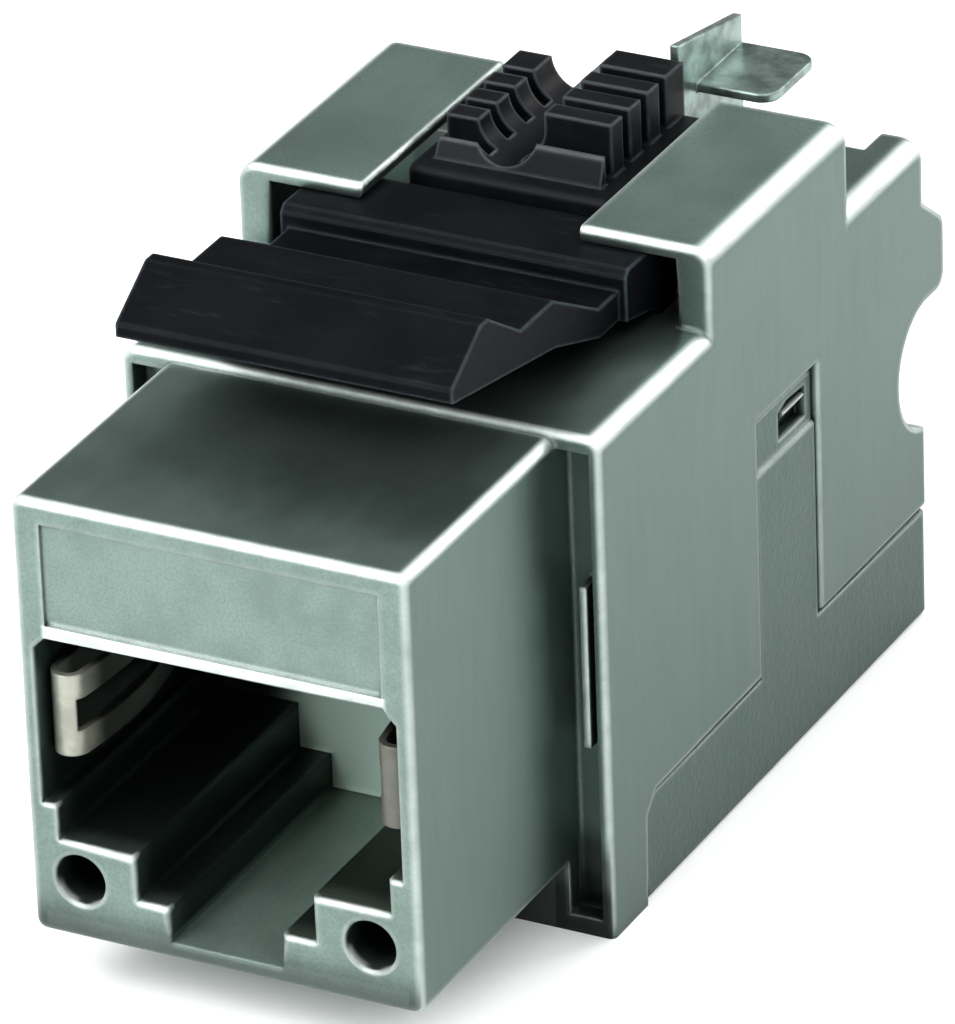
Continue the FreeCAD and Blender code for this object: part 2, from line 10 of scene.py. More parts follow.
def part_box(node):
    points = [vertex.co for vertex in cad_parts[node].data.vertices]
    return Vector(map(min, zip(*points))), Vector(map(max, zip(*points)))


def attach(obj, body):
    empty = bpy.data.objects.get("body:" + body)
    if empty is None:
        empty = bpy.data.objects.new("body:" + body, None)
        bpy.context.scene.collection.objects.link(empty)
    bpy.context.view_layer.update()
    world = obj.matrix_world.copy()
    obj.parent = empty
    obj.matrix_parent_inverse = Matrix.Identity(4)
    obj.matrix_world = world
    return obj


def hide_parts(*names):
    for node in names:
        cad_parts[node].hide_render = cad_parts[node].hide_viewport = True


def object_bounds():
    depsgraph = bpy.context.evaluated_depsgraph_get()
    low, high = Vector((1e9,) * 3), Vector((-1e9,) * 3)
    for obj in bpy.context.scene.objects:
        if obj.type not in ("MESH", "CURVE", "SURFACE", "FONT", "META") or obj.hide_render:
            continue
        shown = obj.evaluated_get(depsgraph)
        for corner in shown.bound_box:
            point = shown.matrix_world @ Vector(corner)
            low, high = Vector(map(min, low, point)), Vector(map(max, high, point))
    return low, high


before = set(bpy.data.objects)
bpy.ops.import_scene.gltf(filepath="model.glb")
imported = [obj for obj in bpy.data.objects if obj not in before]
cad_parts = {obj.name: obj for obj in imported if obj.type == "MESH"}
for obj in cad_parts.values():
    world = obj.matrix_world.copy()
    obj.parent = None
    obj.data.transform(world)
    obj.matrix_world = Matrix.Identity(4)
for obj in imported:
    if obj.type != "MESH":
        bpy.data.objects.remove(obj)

bl_info = {
    "name": "Keystone Jack",
    "version": (1, 0, 0),
    "blender": (4, 5, 0),
    "location": "3D View > Sidebar > Keystone Jack",
    "description": "Finishes and fine detail for a die-cast keystone jack",
    "category": "Add Mesh",
}

MM = 0.001
CAD_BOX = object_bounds()

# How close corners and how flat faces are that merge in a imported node's copy
SAME_PLACE = 0.0005 * MM
SAME_PLANE = math.radians(0.4)

# Sharp edges, and the length, room and clear ends that one needs for a broad rounding
SHARP = math.radians(32)
BROAD_LENGTH = 1.2 * MM
BROAD_ROOM = 0.34 * MM
CLEAR_LENGTH = 0.2 * MM

# Where the room beside an edge is measured, as shares of the edge's length
ROOM_SHARES = (0.1, 0.3, 0.5, 0.7, 0.9)

# Roundings of the folded sheets, and the segments of a rounding that shows well
CLIP_ROUND = 0.07 * MM
SPRING_ROUND = 0.05 * MM
FINE_SEGMENTS = 3

# The plug port and the hollow behind its mouth. Lengths from here to the card are in millimetres
NOSE_FRONT = CAD_BOX[0][1] / MM
NOSE_FOOT = 2.35
PORT_HALF = 6.72
PORT_FLOOR = 2.95
PORT_TOP = 13.52
PORT_END = NOSE_FRONT + 11.6
HOLLOW = ((-6.9, NOSE_FRONT + 1.0, 2.5), (6.9, 14.0, 17.9))

# Places with painted highlights: the lip between port and label field, the pocket's rib and the
# rails' tops
LABEL_HALF = 6.2
LABEL_BASE = 13.95
RIB_SIDES = (7.95, 8.3)
RIB_ENDS = (7.1, 13.3)
RAIL_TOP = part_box("main_housing")[1][2] / MM
RAIL_RISE = (RAIL_TOP - 3, RAIL_TOP + 1)

# Heights over which the painted shade along both feet, the ledges' lack of painted edge highlight
# and the port's floor with less painted shade end
NOSE_FOOT_SHADE = (PORT_FLOOR - 0.3, PORT_FLOOR + 1.2)
BODY_FOOT_SHADE = (NOSE_FOOT - 0.9, NOSE_FOOT)
LEDGE_RISE = (PORT_FLOOR + 0.2, PORT_FLOOR + 0.4)
FLOOR_RISE = (PORT_FLOOR + 0.1, PORT_FLOOR + 0.3)

# Depths behind the port's mouth where the edges painted bright stop, painted shade gathers and the
# springs darken with painted shade
WEAR_DEPTH = (0.2, 0.5)
SHADE_DEPTH = (0.1, 1.4)
SPRING_SHADE_DEPTHS = (1.0, 2.2)

# Where the port's end wall begins, and where across it the light begins
END_WALL = (PORT_END - 0.1, PORT_END - 0.02)
END_LIT = (-4.8, -2.3)

# How far the edges painted bright by rubbing and as highlight, the painted shade in gaps and the
# painted shade in corners reach on the castings
EDGE_REACH = 0.32
GAP_REACH = 0.7
CORNER_REACH = 3.0

# Rays that a surface sends out to find its edges and its gaps
EDGE_RAYS = 4
GAP_RAYS = 3

# Colours that the panel doesn't offer
# The three edge colours paint plastic edges paler, partly by rubbing and partly as painted
# highlight
LATCH_EDGE = (0.11, 0.14, 0.155)
MANAGER_EDGE = (0.12, 0.13, 0.14)
INSERT_GREY = (0.030, 0.032, 0.034)
INSERT_EDGE = (0.12, 0.12, 0.12)
BOARD_MASK = (0.01, 0.09, 0.04)
BOARD_COPPER = (0.05, 0.20, 0.09)
CARD_DARK = (0.93, 0.93, 0.93)
CARD_PALE = (0.96, 0.96, 0.96)
HORIZON = (0.9, 0.93, 0.92)
OVERHEAD = (0.165, 0.19, 0.19)

# The point that the lights are turned to, and each light's name, place, width and height
LIT_POINT = (0, 0, 10)
LIGHTS = (
    ("key", (-380, -630, 525), 700, 700),
    ("rim", (150, 250, 135), 120, 60),
    ("fill", (250, -180, 200), 200, 200),
    ("top", (100, 100, 800), 1600, 1600),
)

# The card under the part
CARD_SIDE = 4000
CARD_CORNER = 600
CARD_THICKNESS = 4

# Where the camera stands, from the point that it looks at
VIEW_POINT = Vector((3.58, -6.70, 14.41)) * MM
VIEW_AZIMUTH = math.radians(27.95)
VIEW_ELEVATION = math.radians(27.60)
VIEW_ROLL = math.radians(-2.18)
VIEW_DISTANCE = 330 * MM
VIEW_CLIP = (10 * MM, 10000 * MM)
VIEW_LENS = 350.2
VIEW_SENSOR = 36


# ---------------------------------------------------------------- shader maths


class Number:
    """A number in a shader. Arithmetic on it adds Math nodes."""

    def __init__(self, shader, socket):
        self.shader = shader
        self.socket = socket

    def __add__(self, other):
        return self.shader.math("ADD", self, other)

    def __sub__(self, other):
        return self.shader.math("SUBTRACT", self, other)

    def __rsub__(self, other):
        return self.shader.math("SUBTRACT", other, self)

    def __mul__(self, other):
        return self.shader.math("MULTIPLY", self, other)

    def __abs__(self):
        return self.shader.math("ABSOLUTE", self)

    __radd__ = __add__
    __rmul__ = __mul__


class Shader:
    """The nodes of one material, or of the studio's surroundings."""

    def __init__(self, owner, output):
        owner.use_nodes = True
        self.owner = owner
        self.tree = owner.node_tree
        self.surface = self.tree.nodes[output]

    def node(self, kind, settings, sockets):
        """Any node: its settings are set first, then its sockets get values or links."""
        node = self.tree.nodes.new(kind)
        for name, value in settings.items():
            setattr(node, name, value)
        for name, value in sockets.items():
            self.feed(node.inputs[name], value)
        return node

    def feed(self, socket, value):
        """Gives a socket a link or a value."""
        if isinstance(value, Number):
            self.tree.links.new(value.socket, socket)
        elif isinstance(value, bpy.types.NodeSocket):
            self.tree.links.new(value, socket)
        else:
            socket.default_value = value

    def math(self, operation, *values):
        """One Math node."""
        node = self.node("ShaderNodeMath", {"operation": operation}, dict(enumerate(values)))
        return Number(self, node.outputs[0])

    def clamped(self, value):
        """A number kept between 0 and 1."""
        settings = {"operation": "MULTIPLY", "use_clamp": True}
        node = self.node("ShaderNodeMath", settings, {0: value, 1: 1.0})
        return Number(self, node.outputs[0])

    def millimetres(self, stretch=(1, 1, 1)):
        """The place on the piece in millimetres, with each axis times its stretch."""
        place = self.node("ShaderNodeTexCoord", {}, {}).outputs["Object"]
        sockets = {"Vector": place, "Scale": Vector(stretch) / MM}
        return self.node("ShaderNodeMapping", {}, sockets).outputs["Vector"]

    def split(self, vector):
        """The three parts of a vector."""
        node = self.node("ShaderNodeSeparateXYZ", {}, {"Vector": vector})
        return [Number(self, part) for part in node.outputs]

    def place(self):
        """Across, along and up, in millimetres from the middle of the base."""
        return self.split(self.millimetres())

    def facing(self):
        """The normal of the surface as it is shaded."""
        return self.node("ShaderNodeNewGeometry", {}, {}).outputs["Normal"]

    def within(self, value, low, high, soft):
        """1 between low and high, and 0 outside, with a soft border."""
        return self.rising(value, low - soft, low) * self.falling(value, high, high + soft)

    def noise(self, per_mm, detail, roughness, stretch=(1, 1, 1)):
        """Cloudy noise, so many clouds to a millimetre."""
        sockets = {
            "Vector": self.millimetres(stretch),
            "Scale": per_mm,
            "Detail": detail,
            "Roughness": roughness,
        }
        node = self.node("ShaderNodeTexNoise", {}, sockets)
        return Number(self, node.outputs["Fac"])

    def cells(self, per_mm):
        """Distance from the middle of the nearest of many scattered cells."""
        sockets = {"Vector": self.millimetres(), "Scale": per_mm}
        node = self.node("ShaderNodeTexVoronoi", {}, sockets)
        return Number(self, node.outputs["Distance"])

    def ramp(self, value, low, high, start, end):
        """Goes smoothly from start to end while a value goes from low to high."""
        sockets = {
            "Value": value,
            "From Min": low,
            "From Max": high,
            "To Min": start,
            "To Max": end,
        }
        node = self.node("ShaderNodeMapRange", {"interpolation_type": "SMOOTHSTEP"}, sockets)
        return Number(self, node.outputs["Result"])

    def rising(self, value, low, high):
        """0 below low and 1 above high."""
        return self.ramp(value, low, high, 0.0, 1.0)

    def falling(self, value, low, high):
        """1 below low and 0 above high."""
        return self.ramp(value, low, high, 1.0, 0.0)

    def mix(self, factor, first, second):
        """The first colour at a factor of 0 and the second at 1."""
        # The node's sockets 6 and 7 and its output 2 are the ones for colours
        settings = {"data_type": "RGBA"}
        node = self.node("ShaderNodeMix", settings, {0: factor, 6: first, 7: second})
        return node.outputs[2]

    def softened(self, radius_mm):
        """Normal with every sharp edge rounded off."""
        node = self.node("ShaderNodeBevel", {"samples": EDGE_RAYS}, {"Radius": radius_mm * MM})
        return node.outputs["Normal"]

    def openness(self, reach_mm):
        """1 on open faces, falling to 0 in gaps and inner corners."""
        sockets = {"Distance": reach_mm * MM}
        node = self.node("ShaderNodeAmbientOcclusion", {"samples": GAP_RAYS}, sockets)
        return Number(self, node.outputs["AO"])

    def along_edges(self, soft, reach):
        """1 along edges, where the softened normal leaves the face's own."""
        sockets = {0: soft, 1: self.facing()}
        dot = self.node("ShaderNodeVectorMath", {"operation": "DOT_PRODUCT"}, sockets)
        return self.rising(1 - Number(self, dot.outputs["Value"]), 0.01, reach)

    def off_square(self, soft):
        """1 where a boxy casting is rounded, so that its normal lies along no axis."""
        across, along, up = (abs(part) for part in self.split(soft))
        largest = self.math("MAXIMUM", self.math("MAXIMUM", across, along), up)
        return self.falling(largest, 0.91, 0.999)

    def bump(self, height, strength, distance_mm, normal=None):
        """Normal tilted by a height."""
        sockets = {"Height": height, "Strength": strength, "Distance": distance_mm * MM}
        if normal is not None:
            sockets["Normal"] = normal
        return self.node("ShaderNodeBump", {}, sockets).outputs["Normal"]

    def finish(self, **sockets):
        """Feeds the surface by its sockets' names and returns the material."""
        for name, value in sockets.items():
            self.feed(self.surface.inputs[name.replace("_", " ")], value)
        return self.owner


# ------------------------------------------------------------------- materials


def finish_named(name):
    """A new material."""
    return Shader(bpy.data.materials.new(name), "Principled BSDF")


def rgb(values, factor=1.0):
    """A colour, made darker or lighter by a factor."""
    return (values[0] * factor, values[1] * factor, values[2] * factor, 1.0)


def port_depth(shader, start, end):
    """0 at the mouth of the plug port, rising to 1 between two depths behind it."""
    along = shader.place()[1]
    return shader.rising(along, NOSE_FRONT + start, NOSE_FRONT + end)


class Casting(Shader):
    """The shader of a casting, with the places, noises and masks that its layers share."""

    def __init__(self, name, grain):
        super().__init__(bpy.data.materials.new(name), "Principled BSDF")
        self.across, self.along, self.up = self.place()
        self.cloud = self.noise(0.22, 3.0, 0.55)
        self.flow = self.noise(0.9, 4.0, 0.6, (1.0, 0.35, 1.0))
        self.grain = self.noise(grain, 3.0, 0.65)
        self.soft = self.softened(EDGE_REACH)
        self.close = self.openness(GAP_REACH)
        face_across, face_along, face_up = self.split(self.facing())
        self.flank = self.rising(abs(face_across), 0.5, 0.9)
        self.front = self.falling(face_along, -0.9, -0.6)
        self.top = self.rising(face_up, 0.8, 0.95)
        self.room = self.port_room()
        self.rib = self.pocket_rib()

    def port_room(self):
        """1 inside the outline of the plug port, as far back as its end wall."""
        inside = self.within(self.across, -PORT_HALF, PORT_HALF, 0.02)
        below = self.falling(self.up, PORT_TOP, PORT_TOP + 0.05)
        before = self.falling(self.along, PORT_END + 0.1, PORT_END + 0.15)
        return inside * below * before

    def pocket_rib(self):
        """1 on the front of the rib that stands in each of the shoulder's pockets."""
        width = self.within(abs(self.across), *RIB_SIDES, 0.02)
        return self.front * width * self.within(self.up, *RIB_ENDS, 0.05)

    def skin(self, tint, side_shade_tint):
        """Bare zinc: cloudy, with a painted highlight on the rails' tops and streaked painted shade
        on its side faces.
        """
        tone = self.rising(self.cloud * 0.6 + self.flow * 0.4, 0.35, 0.65)
        body = self.mix(tone, rgb(tint, 0.84), rgb(tint, 1.10))
        # Painted highlight: top faces near the rails' top are lightened
        lit_rail_tops = self.mix(self.rising(self.up, *RAIL_RISE) * self.top * 0.42, body, rgb(tint, 2.0))
        # Painted shade: side faces take the darker flank colour, streaked, in place of the shade
        # that light leaves on them
        side_streaks = self.noise(2.2, 3.0, 0.6, (1.0, 1.0, 0.12))
        side_shaded = self.mix(self.flank * (0.75 + side_streaks * 0.3), lit_rail_tops, rgb(side_shade_tint))
        return self.mix(self.rising(self.grain, 0.35, 0.7) * 0.35, side_shaded, rgb(tint, 0.55))

    def edge_wear_and_highlight(self):
        """1 on edges painted bright, partly by rubbing and partly as painted highlight, most of all
        on those that look upwards; with painted highlights on the lip and the rib.
        """
        inner = self.room * port_depth(self, *WEAR_DEPTH)
        outer = self.rising(self.close, 0.62, 0.92) * (1 - inner)
        ledges = 1 - self.room * self.falling(self.up, *LEDGE_RISE)
        # Painted highlight: edges that look upwards, towards the key light, are painted brighter
        upward = self.rising(self.split(self.soft)[2], 0.08, 0.40)
        edges = self.off_square(self.soft) * (0.4 + upward * 0.6) * outer * ledges
        bar = self.within(self.up, PORT_TOP, LABEL_BASE, 0.04)
        # Painted highlights: a bright line on the lip under the label field, and on the pocket's
        # rib
        lip = self.front * bar * self.within(self.across, -LABEL_HALF, LABEL_HALF, 0.2)
        return self.clamped((edges + lip * 0.7 + self.rib * 0.25) * (0.35 + self.flow))

    def painted_shade(self, gap_shade):
        """Painted shade in gaps, in corners and along both feet."""
        # Painted shade in inner corners and deep places, less of it inside the port and on side
        # faces
        wide = self.openness(CORNER_REACH)
        deep_shade = self.falling(wide, 0.10, 0.62) * (1 - self.room * 0.8) * (1 - self.flank * 0.6)
        # Painted shade: front faces darken towards the nose's and the body's feet
        nose_foot_shade = self.front * self.falling(self.up, *NOSE_FOOT_SHADE)
        body_foot_shade = self.front * self.falling(self.up, *BODY_FOOT_SHADE)
        foot_shade = self.clamped(nose_foot_shade * 0.7 + body_foot_shade * 0.25)
        return self.clamped(gap_shade * 0.9 + deep_shade * 0.75 + foot_shade) * (1 - self.rib)


def cast_zinc(name, tint, side_shade_tint, edge_wear_highlight_tint, grain, grain_height, roughness):
    """Satin die-cast zinc: cloudy, with painted shade on its flanks, in gaps, in corners and in the
    port, and edges painted bright by rubbing and as highlight, most on top edges.
    """
    zinc = Casting(name, grain)
    wear_and_highlight = zinc.edge_wear_and_highlight()
    # Painted shade in narrow gaps; the same mask also makes them rougher
    gap_shade = zinc.falling(zinc.close, 0.15, 0.66)
    # Edges take the edge colour, partly by rubbing and partly as painted highlight
    edges_worn_and_lit = zinc.mix(wear_and_highlight * 0.9, zinc.skin(tint, side_shade_tint), rgb(edge_wear_highlight_tint))
    # The painted shade of gaps, corners and feet darkens the colour
    with_painted_shade = zinc.mix(zinc.painted_shade(gap_shade), edges_worn_and_lit, rgb(tint, 0.06))

    # The port: dark walls, a paler floor and an end wall that catches the light
    end = zinc.rising(zinc.along, *END_WALL)
    floor = zinc.falling(zinc.up, *FLOOR_RISE)
    shade = zinc.room * port_depth(zinc, *SHADE_DEPTH) * (1 - end) * (0.86 - floor * 0.75)
    lit_end = zinc.room * end * zinc.rising(zinc.across, *END_LIT)
    walls = zinc.mix(shade, with_painted_shade, rgb(tint, 0.07))
    dark_end = zinc.mix(zinc.room * end, walls, rgb(tint, 0.25))
    colour = zinc.mix(lit_end, dark_end, rgb(tint, 3.7))
    metal = 0.92 - lit_end * 0.7 - wear_and_highlight * 0.55 - zinc.room * floor * 0.4

    pits = zinc.rising(zinc.cells(2.6), 0.02, 0.10)
    normal = zinc.bump(zinc.grain * 0.75 + pits * 0.25, 0.55, grain_height, zinc.soft)
    uneven = (zinc.grain - 0.5) * 0.16 + (zinc.cloud - 0.5) * 0.12
    rough = roughness + uneven - wear_and_highlight * 0.04 + gap_shade * 0.2
    return zinc.finish(
        Base_Color=colour, Metallic=metal, Roughness=zinc.clamped(rough), Normal=normal
    )


def moulded_plastic(name, tint, edge_wear_highlight_tint, roughness, gloss):
    """Dark moulded plastic with spark-eroded texture, dust, and edges painted paler, partly by
    rubbing and partly as highlight.
    """
    shader = finish_named(name)
    grainy = shader.noise(14.0, 2.0, 0.6)
    cloud = shader.noise(0.4, 3.0, 0.5)
    scuff = shader.noise(2.4, 5.0, 0.7, (0.2, 1.0, 1.0))
    soft = shader.softened(0.2)
    outer = shader.rising(shader.openness(0.5), 0.6, 0.9)
    # Edges painted paler, partly by rubbing and partly as painted highlight
    wear_and_highlight = shader.clamped(shader.along_edges(soft, 0.12) * outer * (0.2 + scuff * 1.4))
    dusty = shader.rising(scuff, 0.55, 0.8)
    base = shader.mix(shader.rising(cloud, 0.3, 0.7), rgb(tint, 0.7), rgb(tint, 1.3))
    colour = shader.mix(shader.clamped(wear_and_highlight * 0.7 + dusty * 0.06), base, rgb(edge_wear_highlight_tint))
    rough = roughness + (grainy - 0.5) * 0.18 + (cloud - 0.5) * 0.15 + dusty * 0.05
    normal = shader.bump(grainy * 0.8 + scuff * 0.2, 0.4, 0.02, soft)
    return shader.finish(
        Base_Color=colour, Roughness=shader.clamped(rough), Normal=normal, Specular_IOR_Level=gloss
    )


def plated_sheet(name, tint, shade, roughness, metallic=1.0, shade_depths=None):
    """Rolled and plated sheet or wire: mottled plating, edges painted bright by rubbing and as
    highlight, painted shade in gaps and, where shade depths are given, painted shade deeper in the
    port.
    """
    shader = finish_named(name)
    drawn = shader.noise(3.0, 2.0, 0.5, (1.0, 0.2, 1.0))
    mottle = shader.noise(1.1, 4.0, 0.6)
    soft = shader.softened(0.08)
    # Edges painted brighter, partly by rubbing and partly as painted highlight
    wear_and_highlight = shader.along_edges(soft, 0.2)
    # Painted shade in narrow gaps
    gap_shade = shader.falling(shader.openness(0.6), 0.2, 0.7)
    base = shader.mix(shader.rising(mottle, 0.35, 0.68), rgb(tint), rgb(shade))
    bright = shader.mix(wear_and_highlight * 0.7, base, rgb(tint, 1.25))
    colour = shader.mix(gap_shade * 0.8, bright, rgb(shade, 0.15))
    # Painted shade: the colour darkens deeper in the port
    if shade_depths:
        colour = shader.mix(port_depth(shader, *shade_depths) * 0.96, colour, rgb(shade, 0.05))
    rough = roughness + (drawn - 0.5) * 0.10 + (mottle - 0.5) * 0.12
    normal = shader.bump(drawn, 0.15, 0.006, soft)
    return shader.finish(
        Base_Color=colour, Metallic=metallic, Roughness=shader.clamped(rough), Normal=normal
    )


def laminate(name, tint, copper):
    """Solder mask over glass cloth, with the copper's tracks showing through faintly."""
    shader = finish_named(name)
    weave = shader.noise(5.0, 1.0, 0.5, (3.0, 0.4, 1.0))
    tracks = shader.rising(shader.noise(0.8, 0.0, 0.0, (1.0, 0.3, 1.0)), 0.48, 0.52)
    colour = shader.mix(tracks * 0.35, rgb(tint), rgb(copper))
    normal = shader.bump(tracks * 0.6 + weave * 0.4, 0.3, 0.02)
    rough = 0.32 + (weave - 0.5) * 0.15
    return shader.finish(Base_Color=colour, Roughness=shader.clamped(rough), Normal=normal)


# ------------------------------------------------------------------- modelling


def focus(piece):
    """Leaves only this piece selected and active."""
    bpy.ops.object.select_all(action="DESELECT")
    piece.select_set(True)
    bpy.context.view_layer.objects.active = piece


def modify(piece, kind, **settings):
    """Adds a modifier and applies it."""
    focus(piece)
    modifier = piece.modifiers.new(kind.title(), kind)
    for name, value in settings.items():
        setattr(modifier, name, value)
    bpy.ops.object.modifier_apply(modifier=modifier.name)


def merged_copy(node, name):
    """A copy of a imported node, with its loose triangles merged into whole faces."""
    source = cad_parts[node]
    piece = bpy.data.objects.new(name, source.data.copy())
    bpy.context.collection.objects.link(piece)
    focus(piece)
    bpy.ops.mesh.customdata_custom_splitnormals_clear()
    bpy.ops.object.mode_set(mode="EDIT")
    bpy.ops.mesh.select_all(action="SELECT")
    bpy.ops.mesh.remove_doubles(threshold=SAME_PLACE)
    bpy.ops.mesh.dissolve_limited(angle_limit=SAME_PLANE)
    bpy.ops.object.mode_set(mode="OBJECT")
    return piece


def room_beside(edge, face):
    """Clear width of a face beside one of its edges."""
    start, end = (corner.co for corner in edge.verts)
    room = (end - start).length
    for other in face.edges:
        if set(other.verts) & set(edge.verts):
            continue
        first, last = (corner.co for corner in other.verts)
        for share in ROOM_SHARES:
            point = start.lerp(end, share)
            nearest, along = intersect_point_line(point, first, last)
            nearest = first.lerp(last, min(max(along, 0), 1))
            room = min(room, (nearest - point).length)
    return room


def is_free(corner, sharp):
    """Whether a corner has room for a broad rounding to end in it."""
    meeting = sum(edge in sharp for edge in corner.link_edges)
    shortest = min(edge.calc_length() for edge in corner.link_edges)
    return meeting in (2, 3) and shortest > CLEAR_LENGTH


def in_hollow(edge):
    """Whether an edge lies out of sight in the castings' hollow."""
    middle = (edge.verts[0].co + edge.verts[1].co) / 2 / MM
    return all(low < value < high for low, value, high in zip(HOLLOW[0], middle, HOLLOW[1]))


def weigh_edges(piece):
    """Marks the long outer edges between broad faces, whose ends have room for a rounding."""
    shape = bmesh.new()
    shape.from_mesh(piece.data)
    weight = shape.edges.layers.float.new("bevel_weight_edge")
    sharp = {edge for edge in shape.edges if edge.calc_face_angle(0) > SHARP}
    for edge in sharp:
        if edge.calc_length() < BROAD_LENGTH or not edge.is_convex:
            continue
        room = min(room_beside(edge, face) for face in edge.link_faces)
        free = all(is_free(corner, sharp) for corner in edge.verts) and not in_hollow(edge)
        if room > BROAD_ROOM and free:
            edge[weight] = 1.0
    shape.to_mesh(piece.data)
    shape.free()


def soften(piece, width, segments, broad_only):
    """Rounds the sharp edges, or only the broad ones, and shades the rest smooth."""
    rounding = {"width": width, "segments": segments}
    if broad_only:
        weigh_edges(piece)
        modify(piece, "BEVEL", limit_method="WEIGHT", use_clamp_overlap=False, **rounding)
    else:
        modify(piece, "BEVEL", limit_method="ANGLE", angle_limit=SHARP, **rounding)
    focus(piece)
    bpy.ops.object.shade_smooth_by_angle(angle=SHARP)
    modify(piece, "WEIGHTED_NORMAL", mode="FACE_AREA", weight=100, keep_sharp=True)


def dress(piece, material, body):
    """Gives a piece its finish, and its place in the part."""
    piece.data.materials.clear()
    piece.data.materials.append(material)
    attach(piece, body)


def soft_copy(node, name, material, body, width, segments=2, broad_only=False):
    """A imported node's copy with rounded edges, which stands for it."""
    piece = merged_copy(node, name)
    soften(piece, width, segments, broad_only)
    dress(piece, material, body)
    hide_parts(node)


def paint(node, material):
    """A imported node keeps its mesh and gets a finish."""
    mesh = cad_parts[node].data
    mesh.materials.clear()
    mesh.materials.append(material)


def nodes_named(start):
    """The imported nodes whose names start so."""
    return [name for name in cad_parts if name.startswith(start)]


# ------------------------------------------------------------------ properties


class JackFinish(bpy.types.PropertyGroup):
    """Colours of the jack's finishes and widths of its roundings."""

    zinc: FloatVectorProperty(
        name="Zinc", description="Colour of the main casting", subtype="COLOR",
        default=(0.175, 0.240, 0.215), min=0, max=1,
    )
    # Painted shade: the colour that side faces take in place of the shade that light leaves on them
    zinc_side_shade: FloatVectorProperty(
        name="Flank zinc", description="Colour of faces that dragged along the die",
        subtype="COLOR", default=(0.061, 0.102, 0.089), min=0, max=1,
    )
    zinc_cover: FloatVectorProperty(
        name="Cover zinc", description="Colour of the lower cover", subtype="COLOR",
        default=(0.140, 0.190, 0.172), min=0, max=1,
    )
    # Colour of edges painted bright, partly by rubbing and partly as painted highlight
    zinc_edge_wear_highlight: FloatVectorProperty(
        name="Burnished edge", description="Colour of edges rubbed bright", subtype="COLOR",
        default=(0.74, 0.80, 0.77), min=0, max=1,
    )
    plastic: FloatVectorProperty(
        name="Plastic", description="Colour of the latch and the wire manager", subtype="COLOR",
        default=(0.0025, 0.003, 0.004), min=0, max=1,
    )
    clip: FloatVectorProperty(
        name="Clip", description="Colour of the shield clip", subtype="COLOR",
        default=(0.24, 0.315, 0.29), min=0, max=1,
    )
    spring: FloatVectorProperty(
        name="Spring", description="Colour of the shield springs", subtype="COLOR",
        default=(0.36, 0.37, 0.31), min=0, max=1,
    )
    contact: FloatVectorProperty(
        name="Contact", description="Colour of the gold-plated wires", subtype="COLOR",
        default=(0.86, 0.62, 0.26), min=0, max=1,
    )
    casting_round: FloatProperty(
        name="Casting edge", description="Width of the rounding on the castings' outer edges",
        default=0.15 * MM, min=0.02 * MM, max=0.3 * MM, unit="LENGTH", precision=5,
    )
    plastic_round: FloatProperty(
        name="Plastic edge", description="Width of the rounding on the plastic's edges",
        default=0.05 * MM, min=0.02 * MM, max=0.3 * MM, unit="LENGTH", precision=5,
    )


class JackStudio(bpy.types.PropertyGroup):
    """Powers of the studio's lights."""

    key: FloatProperty(
        name="Key", description="Power of the large light at the front left",
        default=11.5, min=0, unit="POWER",
    )
    rim: FloatProperty(
        name="Rim", description="Power of the small light behind the right side",
        default=0.35, min=0, unit="POWER",
    )
    fill: FloatProperty(
        name="Fill", description="Power of the light at the front right",
        default=0.5, min=0, unit="POWER",
    )
    top: FloatProperty(
        name="Top", description="Power of the wide light overhead, which pales the shadow",
        default=14.5, min=0, unit="POWER",
    )
    sky: FloatProperty(
        name="Surroundings", description="Brightness of the surroundings", default=0.55, min=0,
    )


# ------------------------------------------------------------------- operators


class JACK_OT_castings(bpy.types.Operator):
    """Main casting and lower cover"""

    bl_idname = "jack.castings"
    bl_label = "Castings"

    def execute(self, context):
        finish = context.scene.jack_finish
        # edge: colour of edges painted bright by rubbing and as highlight; flank: painted shade on
        # side faces
        edge = tuple(finish.zinc_edge_wear_highlight)
        flank = tuple(finish.zinc_side_shade)
        cover = tuple(finish.zinc_cover)
        satin = cast_zinc(
            "satin_zinc", tuple(finish.zinc), flank, edge,
            grain=9.0, grain_height=0.012, roughness=0.36,
        )
        grained = cast_zinc(
            "grained_zinc", cover, rgb(flank, 0.93), rgb(edge, 0.55),
            grain=4.0, grain_height=0.09, roughness=0.47,
        )
        castings = (
            ("main_housing", "main_casting", satin, "zinc"),
            ("lower_cover", "cover_casting", grained, "zinc_dark"),
        )
        for node, name, zinc, slot in castings:
            soft_copy(
                node, name, zinc, "housing",
                finish.casting_round, FINE_SEGMENTS, broad_only=True,
            )
        return {"FINISHED"}


class JACK_OT_latch(bpy.types.Operator):
    """Latch lever"""

    bl_idname = "jack.latch"
    bl_label = "Latch lever"

    def execute(self, context):
        finish = context.scene.jack_finish
        black = moulded_plastic(
            "latch_black", tuple(finish.plastic), edge_wear_highlight_tint=LATCH_EDGE,
            roughness=0.48, gloss=0.035,
        )
        soft_copy(
            "latch_lever", "latch_moulding", black, "latch",
            finish.plastic_round,
        )
        return {"FINISHED"}


class JACK_OT_manager(bpy.types.Operator):
    """Wire manager and terminal block"""

    bl_idname = "jack.manager"
    bl_label = "Wire manager"

    def execute(self, context):
        finish = context.scene.jack_finish
        black = moulded_plastic(
            "manager_black", tuple(finish.plastic), edge_wear_highlight_tint=MANAGER_EDGE,
            roughness=0.46, gloss=0.08,
        )
        soft_copy(
            "wire_manager", "manager_cap", black, "manager",
            finish.plastic_round, broad_only=True,
        )
        paint("idc_block", black)
        return {"FINISHED"}


